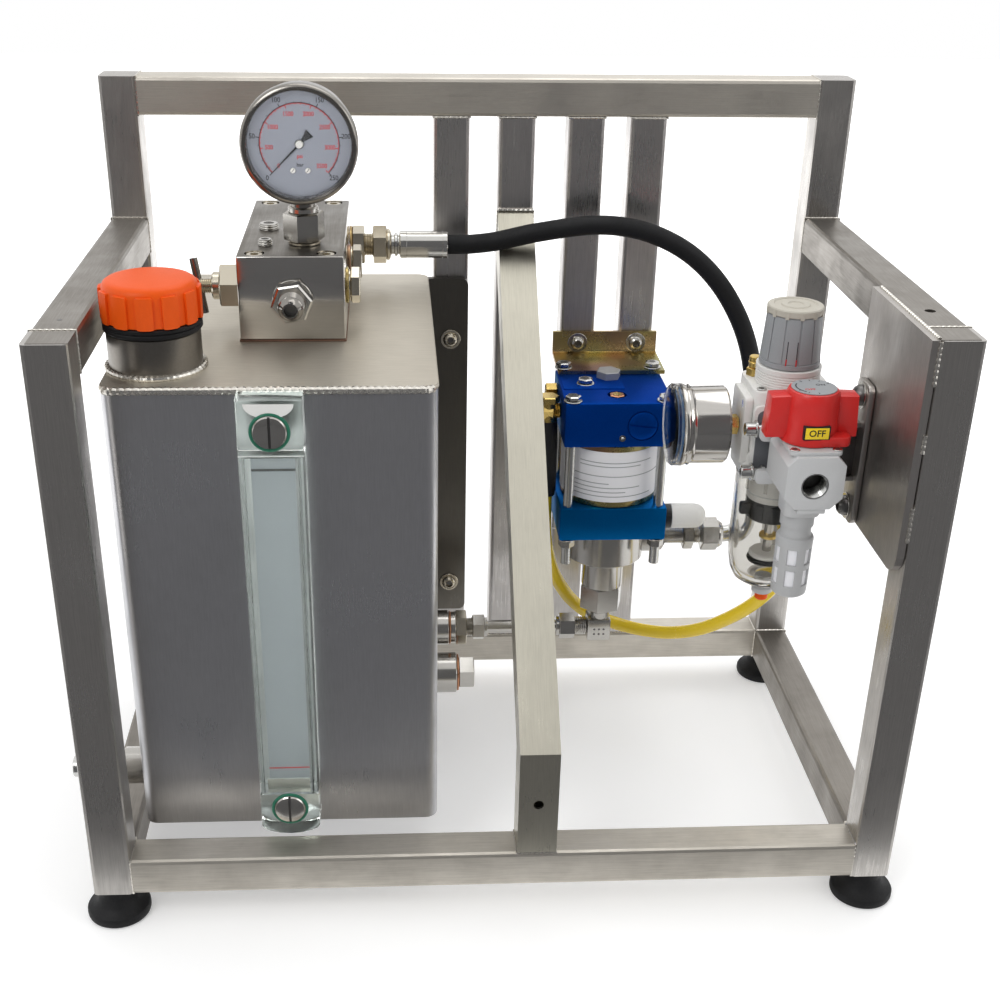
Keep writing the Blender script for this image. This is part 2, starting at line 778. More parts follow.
def clear_scene():
    """Remove everything that is in the file, so that a second run gives the same parts."""
    for thing in list(bpy.data.objects):
        bpy.data.objects.remove(thing, do_unlink=True)
    for group in list(bpy.data.collections):
        bpy.data.collections.remove(group)


def make_material(name, colour, roughness, metallic=0.0):
    """A plain surface with one colour, roughness and metallic value."""
    material = bpy.data.materials.new(name)
    material.use_nodes = True
    surface = material.node_tree.nodes["Principled BSDF"]
    surface.inputs["Base Color"].default_value = (*colour, 1.0)
    surface.inputs["Roughness"].default_value = roughness
    surface.inputs["Metallic"].default_value = metallic
    material.diffuse_color = (*colour, 1.0)
    return material


clear_scene()
parts = bpy.data.collections.new("hydraulic_pump_unit")
bpy.context.scene.collection.children.link(parts)
cutters = bpy.data.collections.new("cutters")
bpy.context.scene.collection.children.link(cutters)
placement = bpy.data.objects.new("placement", None)
placement.location = (placement_x, -frame_depth / 2, foot_height)
parts.objects.link(placement)

stainless = make_material("brushed_stainless", (0.56, 0.53, 0.47), 0.35, 1.0)
tank_steel = make_material("tank_stainless", (0.42, 0.41, 0.39), 0.38, 1.0)
bright_steel = make_material("bright_steel", (0.62, 0.62, 0.60), 0.25, 1.0)
zinc_yellow = make_material("yellow_zinc", (0.62, 0.50, 0.22), 0.35, 1.0)
blue_aluminium = make_material("blue_aluminium", (0.01, 0.09, 0.32), 0.4, 0.8)
brass = make_material("brass", (0.70, 0.52, 0.24), 0.3, 1.0)
black_rubber = make_material("black_rubber", (0.02, 0.02, 0.02), 0.7)
black_plastic = make_material("black_plastic", (0.03, 0.03, 0.03), 0.45)
white_plastic = make_material("white_plastic", (0.75, 0.75, 0.73), 0.45)
grey_plastic = make_material("grey_plastic", (0.32, 0.34, 0.36), 0.5)
light_grey_plastic = make_material("light_grey_plastic", (0.62, 0.62, 0.61), 0.45)
clear_plastic = make_material("clear_plastic", (0.72, 0.80, 0.76), 0.12)
orange_plastic = make_material("orange_plastic", (0.75, 0.18, 0.05), 0.4)
red_plastic = make_material("red_plastic", (0.65, 0.03, 0.03), 0.35)
yellow_tube = make_material("yellow_tube", (0.75, 0.55, 0.03), 0.35)


def add(mesh):
    """A loose solid among the cutters, until it becomes a part."""
    piece = bpy.data.objects.new("cutter", mesh)
    cutters.objects.link(piece)
    piece.parent = placement
    piece.hide_render = True
    piece.display_type = "WIRE"
    return piece


def part(piece, name, material):
    """Make a loose solid one of the object's named parts."""
    cutters.objects.unlink(piece)
    parts.objects.link(piece)
    piece.name = name
    piece.hide_render = False
    piece.display_type = "TEXTURED"
    piece.data.materials.append(material)
    return piece


def about(piece, pivot):
    """Move a piece's origin to a point on its joint's axis, and leave its shape in place."""
    piece.data.transform(Matrix.Translation(-Vector(pivot)))
    piece.location = pivot
    return piece


def join(piece, *others):
    """Weld other solids to a piece."""
    for other in others:
        union = piece.modifiers.new("join", "BOOLEAN")
        union.operation = "UNION"
        union.object = other
    return piece


def cut(piece, *others):
    """Cut other solids out of a piece."""
    for other in others:
        difference = piece.modifiers.new("cut", "BOOLEAN")
        difference.operation = "DIFFERENCE"
        difference.object = other
    return piece


def mesh_from(work):
    """Turn a bmesh into a mesh with smooth faces and sharp corners."""
    mesh = bpy.data.meshes.new("solid")
    work.to_mesh(mesh)
    work.free()
    mesh.shade_smooth()
    mesh.set_sharp_from_angle(angle=sharp_angle)
    return mesh


def box(low, high, edge=0.0, along=None):
    """A box between two corners. Its edges are rounded, or only those along one axis."""
    low = Vector(low)
    high = Vector(high)
    work = bmesh.new()
    bmesh.ops.create_cube(work, size=1)
    bmesh.ops.scale(work, vec=high - low, verts=work.verts)
    bmesh.ops.translate(work, vec=(low + high) / 2, verts=work.verts)
    if edge:
        chosen = []
        for line in work.edges:
            run = line.verts[0].co - line.verts[1].co
            if along is None or abs(run[along]) > run.length / 2:
                chosen.append(line)
        bmesh.ops.bevel(work, geom=chosen, offset=edge, segments=corner_segments,
                        profile=bevel_profile_share, affect="EDGES")
    return add(mesh_from(work))


def rod(start, direction, length, radius, sides=medium_steps, end_radius=None):
    """A cylinder, or a cone where its end has another radius."""
    if end_radius is None:
        end_radius = radius
    work = bmesh.new()
    bmesh.ops.create_cone(work, cap_ends=True, segments=sides, radius1=radius,
                          radius2=end_radius, depth=length)
    turn = direction.to_track_quat("Z", "Y").to_matrix().to_4x4()
    middle = Vector(start) + direction * length / 2
    bmesh.ops.transform(work, matrix=Matrix.Translation(middle) @ turn, verts=work.verts)
    return add(mesh_from(work))


def hexagon(start, direction, length, flats):
    """A hexagonal prism of a size across its flats."""
    return rod(start, direction, length, flats / 2 / math.cos(math.pi / hex_sides), hex_sides)


def turned(profile, start, direction, steps=medium_steps, closed=False):
    """A turned solid. Its profile of radius and height runs down the outer side, top to bottom."""
    mesh = bpy.data.meshes.new("profile")
    points = [(radius, 0, height) for radius, height in profile]
    edges = [(index, index + 1) for index in range(len(points) - 1)]
    if closed:
        edges.append((len(points) - 1, 0))
    mesh.from_pydata(points, edges, [])
    piece = add(mesh)
    piece.location = start
    piece.rotation_mode = "QUATERNION"
    piece.rotation_quaternion = direction.to_track_quat("Z", "Y")
    screw = piece.modifiers.new("turn", "SCREW")
    screw.steps = steps
    screw.render_steps = steps
    screw.use_merge_vertices = True
    screw.merge_threshold = merge_distance
    screw.use_smooth_shade = True
    return piece


def mesh_of_curve(curve):
    """Turn a curve into a closed mesh object with welded caps."""
    holder = bpy.data.objects.new("outline", curve)
    cutters.objects.link(holder)
    bpy.context.view_layer.update()
    seen = holder.evaluated_get(bpy.context.evaluated_depsgraph_get())
    mesh = bpy.data.meshes.new_from_object(seen)
    bpy.data.objects.remove(holder)
    bpy.data.curves.remove(curve)
    work = bmesh.new()
    work.from_mesh(mesh)
    bpy.data.meshes.remove(mesh)
    bmesh.ops.remove_doubles(work, verts=work.verts, dist=merge_distance)
    bmesh.ops.recalc_face_normals(work, faces=work.faces)
    return work


def slab(points, axis, low, high):
    """A flat outline made solid between two heights along an axis, 0 for x, 1 for y and 2 for z."""
    curve = bpy.data.curves.new("outline", "CURVE")
    curve.dimensions = "2D"
    curve.fill_mode = "BOTH"
    curve.extrude = (high - low) / 2
    spline = curve.splines.new("POLY")
    spline.points.add(len(points) - 1)
    for place, (across, upward) in zip(spline.points, points):
        place.co = (across, upward, 0, 1)
    spline.use_cyclic_u = True
    work = mesh_of_curve(curve)
    frames = (
        Matrix(((0, 0, 1), (1, 0, 0), (0, 1, 0))),
        Matrix(((1, 0, 0), (0, 0, -1), (0, 1, 0))),
        Matrix(((1, 0, 0), (0, 1, 0), (0, 0, 1))),
    )
    offset = Vector((0, 0, 0))
    offset[axis] = (low + high) / 2
    turn = Matrix.Translation(offset) @ frames[axis].to_4x4()
    bmesh.ops.transform(work, matrix=turn, verts=work.verts)
    return add(mesh_from(work))


def rounded(corners):
    """Points of an outline whose corners, given as across, up and radius, are rounded."""
    points = []
    for index, (across, upward, radius) in enumerate(corners):
        corner = Vector((across, upward))
        if not radius:
            points.append(corner)
            continue
        before = Vector(corners[index - 1][:2])
        after = Vector(corners[(index + 1) % len(corners)][:2])
        back = (before - corner).normalized()
        forth = (after - corner).normalized()
        half = back.angle(forth) / 2
        start = corner + back * radius / math.tan(half)
        end = corner + forth * radius / math.tan(half)
        middle = corner + (back + forth).normalized() * radius / math.sin(half)
        for step in range(corner_steps + 1):
            place = start.lerp(end, step / corner_steps)
            points.append(middle + (place - middle).normalized() * radius)
    return points


def wire(points, radius, resolution=wire_resolution):
    """A curve object: a round wire or tube with closed ends through a list of points."""
    curve = bpy.data.curves.new("wire", "CURVE")
    curve.dimensions = "3D"
    curve.bevel_depth = radius
    curve.bevel_resolution = resolution
    curve.use_fill_caps = True
    spline = curve.splines.new("POLY")
    spline.points.add(len(points) - 1)
    for place, point in zip(spline.points, points):
        place.co = (*point, 1)
    return curve


def wire_solid(points, radius):
    """A wire made a mesh, so that it can be joined to other solids."""
    return add(mesh_from(mesh_of_curve(wire(points, radius))))


def smooth_route(route, spacing):
    """Evenly spaced points on a smooth curve through a route's own points, with straight ends."""
    knots = [Vector(point) for point in route]
    fine = []
    for index in range(1, len(knots) - 2):
        a, b, c, d = knots[index - 1:index + 3]
        for step in range(fine_steps):
            t = step / fine_steps
            pull = (c - a) * t + (2 * a - 5 * b + 4 * c - d) * t ** 2 + (3 * b - 3 * c + d - a) * t ** 3
            fine.append(b + pull / 2)
    fine.append(knots[-2])
    travelled = [0.0]
    for one, other in zip(fine, fine[1:]):
        travelled.append(travelled[-1] + (other - one).length)
    count = round(travelled[-1] / spacing)
    points = [knots[0]]
    index = 0
    for step in range(count + 1):
        goal = travelled[-1] * step / count
        while index < len(fine) - 2 and travelled[index + 1] < goal:
            index += 1
        share = (goal - travelled[index]) / (travelled[index + 1] - travelled[index])
        points.append(fine[index].lerp(fine[index + 1], share))
    points.append(knots[-1])
    return points


def square_tube(name, low, high, axis):
    """A length of square tube, open at both ends."""
    shell = box(low, high, tube_corner, axis)
    inner_low = Vector(low) + Vector((tube_wall, tube_wall, tube_wall))
    inner_high = Vector(high) - Vector((tube_wall, tube_wall, tube_wall))
    inner_low[axis] = low[axis] - overrun
    inner_high[axis] = high[axis] + overrun
    cut(shell, box(inner_low, inner_high))
    return part(shell, name, stainless)


def make_posts():
    """Four corner posts: closed at the top, with a drilled end plate for the levelling foot."""
    corners = (
        ("front_left", -half_width, 0, front_post_height),
        ("front_right", post_inner, 0, front_post_height),
        ("back_left", -half_width, back_front, back_post_height),
        ("back_right", post_inner, back_front, back_post_height),
    )
    for place, left, front, height in corners:
        post = box((left, front, 0), (left + tube_size, front + tube_size, height), tube_corner, 2)
        hollow_low = (left + tube_wall, front + tube_wall, post_end_plate)
        hollow_high = (left + tube_size - tube_wall, front + tube_size - tube_wall, height - tube_wall)
        hole_base = (left + tube_size / 2, front + tube_size / 2, -overrun)
        hole = rod(hole_base, UP, post_end_plate + 2 * overrun, foot_stud_radius + running_gap, small_steps)
        cut(post, box(hollow_low, hollow_high), hole)
        part(post, "post_" + place, stainless)


def make_rails():
    """Rails between the posts: four at the bottom, two at the sides and one at the back on top."""
    near = tube_size + touch_gap
    far = back_front - touch_gap
    left = -post_inner + touch_gap
    right = post_inner - touch_gap
    side_top = front_post_height
    side_low = side_top - tube_size
    back_top = back_post_height
    square_tube("rail_front_bottom", (left, 0, 0), (right, tube_size, tube_size), 0)
    square_tube("rail_back_bottom", (left, back_front, 0), (right, frame_depth, tube_size), 0)
    square_tube("rail_back_top", (left, back_front, back_top - tube_size), (right, frame_depth, back_top), 0)
    square_tube("rail_left_bottom", (-half_width, near, 0), (-post_inner, far, tube_size), 1)
    square_tube("rail_right_bottom", (post_inner, near, 0), (half_width, far, tube_size), 1)
    square_tube("rail_left_top", (-half_width, near, side_low), (-post_inner, far, side_top), 1)
    vented = square_tube("rail_right_top", (post_inner, near, side_low), (half_width, far, side_top), 1)
    vent_y = near + (far - near) * rail_vent_share
    vent_base = (half_width - tube_size / 2, vent_y, side_top - tube_wall - overrun)
    cut(vented, rod(vent_base, UP, tube_wall + 2 * overrun, vent_radius, small_steps))


def make_slats():
    """Four upright tubes between the back rails. They carry the tank, the brace and the pump."""
    low = tube_size + touch_gap
    high = back_post_height - tube_size - touch_gap
    for number, left in enumerate(slat_lefts, 1):
        name = "upright_" + str(number)
        square_tube(name, (left, back_front, low), (left + tube_size, frame_depth, high), 2)


def brace_outline(inset, end_y, foot_z):
    """Side view of the bent brace, drawn in by an inset from its outer faces."""
    rise = (brace_top_height - brace_kink_height) / back_front
    lean = math.sqrt(1 + rise ** 2)
    upper = brace_kink_height - inset * lean
    lower = brace_kink_height - (tube_size - inset) * lean
    return [
        (inset, foot_z),
        (inset, upper + rise * inset),
        (end_y, upper + rise * end_y),
        (end_y, lower + rise * end_y),
        (tube_size - inset, lower + rise * (tube_size - inset)),
        (tube_size - inset, foot_z),
    ]


def make_brace():
    """The bent tube that rises from the front rail to the second upright."""
    right = brace_left + tube_size
    end_y = back_front - touch_gap
    foot_z = tube_size + touch_gap
    brace = slab(brace_outline(0, end_y, foot_z), 0, brace_left, right)
    hollow = brace_outline(tube_wall, end_y + overrun, foot_z - overrun)
    vent_base = (brace_left + tube_size / 2, -overrun, brace_vent_height)
    cut(brace, slab(hollow, 0, brace_left + tube_wall, right - tube_wall),
        rod(vent_base, BACK, tube_wall + 2 * overrun, vent_radius, small_steps))
    part(brace, "divider_brace", stainless)


def make_gusset():
    """The flat plate inside the right front corner, which carries the filter regulator."""
    left = post_inner - touch_gap - gusset_thickness
    corners = (
        (gusset_front, gusset_bottom, gusset_corner),
        (gusset_back, gusset_bottom, gusset_corner),
        (gusset_back, front_post_height, 0),
        (gusset_front, front_post_height, 0),
    )
    part(slab(rounded(corners), 0, left, left + gusset_thickness), "gusset_plate", stainless)


def make_feet():
    """Four levelling feet: a dished pad, a collar under the post and a threaded stud up into it."""
    profile = (
        (0, foot_height + foot_stud_reach),
        (foot_stud_radius, foot_height + foot_stud_reach),
        (foot_stud_radius, foot_height - touch_gap),
        (foot_collar_radius, foot_height - touch_gap),
        (foot_collar_radius, foot_collar_bottom),
        (foot_dish_radius, foot_dish_height),
        (foot_pad_radius, foot_pad_edge + foot_pad_side),
        (foot_pad_radius, foot_pad_edge),
        (foot_pad_radius - foot_pad_edge, 0),
        (0, 0),
    )
    for side, x in (("left", -half_width + tube_size / 2), ("right", half_width - tube_size / 2)):
        for end, y in (("front", tube_size / 2), ("back", frame_depth - tube_size / 2)):
            foot = turned(profile, (x, y, -foot_height), UP)
            part(foot, "levelling_foot_" + end + "_" + side, black_rubber)


def make_tank():
    """The welded oil tank: its body with ports and back flange, and its lid with the filler neck."""
    body_top = tank_top_height - tank_wall - touch_gap
    body = box((tank_left, tank_front, tank_bottom), (tank_right, tank_back, body_top), tank_corner, 2)
    hollow_low = (tank_left + tank_wall, tank_front + tank_wall, tank_bottom + tank_wall)
    hollow_high = (tank_right - tank_wall, tank_back - tank_wall, body_top + overrun)
    cut(body, box(hollow_low, hollow_high))
    flange_back = back_front - touch_gap
    flange_front = flange_back - tank_flange_thickness
    flange = rounded((
        (tank_flange_left, tank_flange_bottom, tank_flange_corner),
        (tank_flange_right, tank_flange_bottom, tank_flange_corner),
        (tank_flange_right, tank_flange_top, tank_flange_corner),
        (tank_flange_left, tank_flange_top, tank_flange_corner),
    ))
    plate = slab(flange, 1, min(flange_front, tank_back - joint_overlap), flange_back)
    for height in flange_bolt_heights:
        head_front = flange_front - button_head_height
        join(plate, rod((flange_bolt_x, head_front, height), BACK, button_head_height + joint_overlap,
                        button_head_radius, small_steps))
    ports = (
        (tank_right - joint_overlap, RIGHT, suction_y, suction_height, suction_boss_radius,
         suction_boss_end),
        (tank_right - joint_overlap, RIGHT, drain_y, drain_height, drain_boss_radius, drain_boss_end),
        (tank_left + joint_overlap, LEFT, return_y, return_height, return_boss_radius,
         tank_left - return_boss_length),
    )
    join(body, plate)
    for start, way, y, height, radius, end in ports:
        join(body, rod((start, y, height), way, abs(end - start), radius))
    for start, way, y, height, radius, end in ports:
        bore_start = start - way.x * (tank_wall + overrun)
        bore = rod((bore_start, y, height), way, abs(end - start) + tank_wall + 2 * overrun,
                   port_bore_radius, small_steps)
        cut(body, bore)
    plug_start = tank_left - return_boss_length
    plug = hexagon((plug_start + joint_overlap, return_y, return_height), LEFT,
                   plug_start - return_plug_end + joint_overlap, return_plug_flats)
    tail = rod((return_plug_end + joint_overlap, return_y, return_height), LEFT,
               return_plug_end - return_end + joint_overlap, return_tail_radius)
    join(body, join(plug, tail))
    part(body, "tank_body", tank_steel)

    lid = box((tank_left, tank_front, tank_top_height - tank_wall), (tank_right, tank_back, tank_top_height),
              tank_corner, 2)
    neck_base = (filler_x, filler_y, tank_top_height - joint_overlap)
    neck_length = neck_top - tank_top_height + joint_overlap
    bore_base = (filler_x, filler_y, tank_top_height - tank_wall - overrun)
    bore_length = neck_top - tank_top_height + tank_wall + 2 * overrun
    join(lid, rod(neck_base, UP, neck_length, neck_radius, large_steps))
    cut(lid, rod(bore_base, UP, bore_length, neck_bore_radius, large_steps))
    part(lid, "tank_lid", tank_steel)


def make_filler_cap():
    """The ribbed filler cap with its plug down in the neck, and the seal ring under its rim."""
    skirt = cap_plug_bottom - cap_bottom
    profile = (
        (0, cap_top - cap_bottom),
        (cap_top_radius - cap_rib_radius, cap_top - cap_bottom),
        (cap_top_radius, cap_top - cap_bottom - cap_rib_radius),
        (cap_bottom_radius, 0),
        (cap_plug_radius, 0),
        (cap_plug_radius, skirt),
        (cap_plug_radius - cap_plug_wall, skirt),
        (cap_plug_radius - cap_plug_wall, 0),
        (0, 0),
    )
    cap = turned(profile, (filler_x, filler_y, cap_bottom), UP, large_steps)
    for number in range(cap_rib_count):
        angle = 2 * math.pi * number / cap_rib_count
        x = filler_x + cap_bottom_radius * math.cos(angle)
        y = filler_y + cap_bottom_radius * math.sin(angle)
        cut(cap, rod((x, y, cap_bottom - overrun), UP, cap_rib_top - cap_bottom + overrun,
                     cap_rib_radius, hex_sides))
    part(cap, "filler_cap", orange_plastic)

    seal_height = seal_top - seal_bottom
    inner = cap_plug_radius + touch_gap
    ring = ((inner, seal_height), (seal_radius, seal_height), (seal_radius, 0), (inner, 0))
    seal = turned(ring, (filler_x, filler_y, seal_bottom), UP, large_steps, closed=True)
    part(seal, "filler_cap_seal", black_rubber)


def make_level_gauge():
    """The clear level gauge on the tank's front, with its screws, and the scale plate inside it."""
    left = gauge_bar_x - gauge_bar_width / 2
    right = gauge_bar_x + gauge_bar_width / 2
    back = tank_front - touch_gap
    bar = box((left, gauge_bar_front, gauge_bar_bottom), (right, back, tank_top_height), gauge_bar_edge, 2)
    room = running_gap
    room_low = (gauge_bar_x - scale_width / 2 - room, gauge_bar_front + gauge_bar_window,
                scale_bottom - room)
    room_high = (gauge_bar_x + scale_width / 2 + room, back + overrun, scale_top + room)
    cut(bar, box(room_low, room_high))
    for height in gauge_bar_screw_heights:
        head_front = gauge_bar_front - gauge_bar_screw_stand
        join(bar, rod((gauge_bar_x, head_front, height), BACK, gauge_bar_screw_stand + joint_overlap,
                      gauge_bar_screw_radius))
    part(bar, "level_gauge_housing", clear_plastic)

    front = gauge_bar_front + scale_depth
    scale_low = (gauge_bar_x - scale_width / 2, front, scale_bottom)
    scale_high = (gauge_bar_x + scale_width / 2, front + scale_thickness, scale_top)
    part(box(scale_low, scale_high), "level_gauge_scale", white_plastic)


def make_drain_plug():
    """The hexagonal drain plug with its copper washer, screwed into the lower boss."""
    washer_start = drain_boss_end + touch_gap
    thread_start = drain_boss_end - port_thread_length
    thread_length = washer_start - thread_start + joint_overlap
    washer = rod((washer_start, drain_y, drain_height), RIGHT,
                 drain_washer_end - washer_start + joint_overlap, drain_washer_radius)
    thread = rod((thread_start, drain_y, drain_height), RIGHT, thread_length, port_thread_radius,
                 small_steps)
    head = hexagon((drain_washer_end, drain_y, drain_height), RIGHT, drain_hex_end - drain_washer_end,
                   drain_hex_flats)
    part(join(washer, thread, head), "drain_plug", bright_steel)


def make_suction_line():
    """The rigid suction line: a fitting at the tank, a tube, and a nut at the pump's elbow."""
    y = suction_y
    z = suction_height
    start = suction_boss_end + touch_gap
    thread_start = start - port_thread_length
    line = rod((thread_start, y, z), RIGHT, suction_end - thread_start, suction_tube_radius)
    join(line, rod((thread_start, y, z), RIGHT, port_thread_length + joint_overlap, port_thread_radius,
                   small_steps))
    join(line, rod((start, y, z), RIGHT, suction_collar_end - start, suction_collar_radius))
    join(line, hexagon((suction_collar_end - joint_overlap, y, z), RIGHT,
                       suction_hex_end - suction_collar_end + joint_overlap, suction_hex_flats))
    join(line, rod((suction_hex_end - joint_overlap, y, z), RIGHT,
                   first_nut_end - suction_hex_end, suction_thread_radius))
    join(line, hexagon((first_nut_start, y, z), RIGHT, first_nut_end - first_nut_start, suction_nut_flats))
    join(line, hexagon((second_nut_start, y, z), RIGHT, second_nut_end - second_nut_start,
                       suction_nut_flats))
    join(line, rod((second_nut_end - joint_overlap, y, z), RIGHT,
                   suction_end - second_nut_end + joint_overlap, suction_thread_radius))
    cut(line, rod((thread_start - overrun, y, z), RIGHT, suction_end - thread_start + 2 * overrun,
                  suction_bore_radius, small_steps))
    part(line, "suction_line", bright_steel)


def make_manifold():
    """The steel manifold block on the tank's lid, with its screws and the plugs in unused ports."""
    bottom = tank_top_height + touch_gap
    block = box((manifold_left, manifold_front, bottom), (manifold_right, manifold_back, manifold_top),
                manifold_edge)
    screw_xs = (manifold_left + manifold_screw_inset_x, manifold_right - manifold_screw_inset_x)
    screw_ys = (manifold_front + manifold_screw_inset_y, manifold_back - manifold_screw_inset_y)
    floor = manifold_top - manifold_pocket_depth
    for x in screw_xs:
        for y in screw_ys:
            cut(block, rod((x, y, floor), UP, manifold_pocket_depth + overrun, manifold_pocket_radius,
                           small_steps))
            join(block, rod((x, y, floor - joint_overlap), UP, manifold_screw_height + joint_overlap,
                            manifold_screw_radius, small_steps))
    for x, y, radius in manifold_plugs:
        join(block, rod((x, y, manifold_top - joint_overlap), UP, manifold_plug_height + joint_overlap,
                        radius, small_steps))
    for y in side_plug_ys:
        join(block, hexagon((manifold_right - joint_overlap, y, port_height), RIGHT,
                            side_plug_length + joint_overlap, side_plug_flats))
    join(block, hexagon((manifold_left + joint_overlap, left_plug_y, port_height), LEFT,
                        left_plug_length + joint_overlap, left_plug_flats))
    spigot = gauge_adaptor_spigot_length + overrun
    cut(block, rod((dial_gauge_x, dial_gauge_y, manifold_top - spigot), UP, spigot + overrun,
                   gauge_adaptor_spigot_radius + running_gap, small_steps))
    stem_room = release_stem_depth + overrun
    cut(block, rod((manifold_left - overrun, release_y, port_height), RIGHT, stem_room + overrun,
                   release_stem_radius + running_gap, small_steps))
    cut(block, rod((outlet_x, manifold_front - overrun, port_height), BACK, outlet_bore_depth + overrun,
                   outlet_bore_radius, small_steps))
    part(block, "manifold_block", bright_steel)


def make_dial_gauge(name, start, way, radius, depth, back_radius, dial_depth, stem):
    """A round gauge case with a bezel, a recessed dial and a small post for the needle's hub."""
    lip = bezel_lip
    profile = (
        (0, gauge_boss_length - dial_depth),
        (gauge_boss_radius, gauge_boss_length - dial_depth),
        (gauge_boss_radius, -dial_depth),
        (radius - lip, -dial_depth),
        (radius - lip, 0),
        (radius - lip / 2, 0),
        (radius, -lip / 2),
        (radius, -bezel_depth),
        (back_radius, -bezel_depth),
        (back_radius, -depth),
        (0, -depth),
    )
    case = turned(profile, start, way, large_steps)
    join(case, *stem)
    return part(case, name, bright_steel)


def make_needle(name, pivot, way, tip_way, length, tail, pin_radius):
    """A flat needle with a drilled hub that turns on the dial's post. It points to zero."""
    tip_way = tip_way.normalized()
    turn = Matrix((tip_way.cross(way), tip_way, way)).transposed().to_4x4()
    half = needle_width / 2
    half_tip = half * needle_tip_share
    blade = ((-half, -tail), (half, -tail), (half_tip, length), (-half_tip, length))
    pointer = slab(blade, 2, 0, needle_thickness)
    join(pointer, rod((0, 0, 0), UP, needle_thickness, needle_hub_radius, small_steps))
    cut(pointer, rod((0, 0, -overrun), UP, needle_thickness + 2 * overrun, pin_radius, small_steps))
    for modifier in pointer.modifiers:
        modifier.object.parent = pointer
    pointer.matrix_basis = Matrix.Translation(Vector(pivot)) @ turn
    return part(pointer, name, black_plastic)


def make_pressure_gauge():
    """The gauge adaptor on the manifold, the oil gauge above it and its needle."""
    spigot = gauge_adaptor_spigot_length
    base = manifold_top + touch_gap
    adaptor = hexagon((dial_gauge_x, dial_gauge_y, base), UP, gauge_adaptor_top - base, gauge_adaptor_flats)
    join(adaptor, rod((dial_gauge_x, dial_gauge_y, manifold_top - spigot), UP, spigot + 2 * joint_overlap,
                      gauge_adaptor_spigot_radius, small_steps))
    cut(adaptor, rod((dial_gauge_x, dial_gauge_y, manifold_top - spigot - overrun), UP,
                     gauge_adaptor_top - manifold_top + spigot + 2 * overrun, gauge_adaptor_bore_radius,
                     small_steps))
    part(adaptor, "gauge_adaptor", bright_steel)

    stem_base = gauge_adaptor_top + touch_gap
    thread_base = stem_base - gauge_stem_thread_length
    middle_y = dial_gauge_y
    stem = (
        rod((dial_gauge_x, middle_y, stem_base), UP,
            dial_height - gauge_case_radius - stem_base + 2 * overrun, gauge_stem_radius, small_steps),
        rod((dial_gauge_x, middle_y, thread_base), UP, gauge_stem_thread_length + joint_overlap,
            gauge_stem_thread_radius, small_steps),
    )
    make_dial_gauge("pressure_gauge_case", (dial_gauge_x, gauge_front, dial_height), FRONT, bezel_radius,
                    gauge_case_back - gauge_front, gauge_case_radius, gauge_dial_depth, stem)
    needle_y = gauge_front + gauge_dial_depth - touch_gap
    make_needle("pressure_gauge_needle", (dial_gauge_x, needle_y, dial_height), FRONT, LEFT + DOWN,
                needle_length, needle_tail, gauge_boss_radius + needle_pin_gap)


def make_release_valve():
    """The release valve on the manifold's left: a hexagonal body and a stem with a tommy bar."""
    base = manifold_left - touch_gap
    body = hexagon((base, release_y, port_height), LEFT, release_hex_length, release_hex_flats)
    neck_base = base - release_hex_length + joint_overlap
    body_length = release_hex_length + release_neck_length
    join(body, rod((neck_base, release_y, port_height), LEFT, release_neck_length + joint_overlap,
                   release_neck_radius))
    cut(body, rod((base + overrun, release_y, port_height), LEFT, body_length + 2 * overrun,
                  release_stem_radius + running_gap, small_steps))
    part(body, "release_valve_body", bright_steel)

    inner_end = manifold_left + release_stem_depth
    stem = rod((inner_end, release_y, port_height), LEFT, inner_end - release_stem_end,
               release_stem_radius)
    bar_way = Vector((0, math.sin(release_bar_tilt), math.cos(release_bar_tilt)))
    bar_middle = Vector((release_stem_end + release_bar_inset, release_y, port_height))
    bar = rod(bar_middle - bar_way * release_bar_half, bar_way, 2 * release_bar_half, release_bar_radius,
              small_steps)
    join(stem, bar)
    about(stem, (release_stem_end, release_y, port_height))
    part(stem, "release_valve_stem", bright_steel)


def make_outlet():
    """The male outlet adaptor on the manifold's front, with its bore through to the block."""
    base = manifold_front - touch_gap
    adaptor = hexagon((outlet_x, base, port_height), FRONT, outlet_hex_length, outlet_hex_flats)
    hex_front = base - outlet_hex_length
    join(adaptor, rod((outlet_x, hex_front + joint_overlap, port_height), FRONT,
                      hex_front - outlet_thread_front + joint_overlap, outlet_thread_radius))
    join(adaptor, rod((outlet_x, outlet_thread_front + joint_overlap, port_height), FRONT,
                      outlet_thread_front - outlet_front + joint_overlap, outlet_cone_radius))
    cut(adaptor, rod((outlet_x, base + overrun, port_height), FRONT, base - outlet_front + 2 * overrun,
                     outlet_bore_radius, small_steps))
    part(adaptor, "outlet_adaptor", bright_steel)


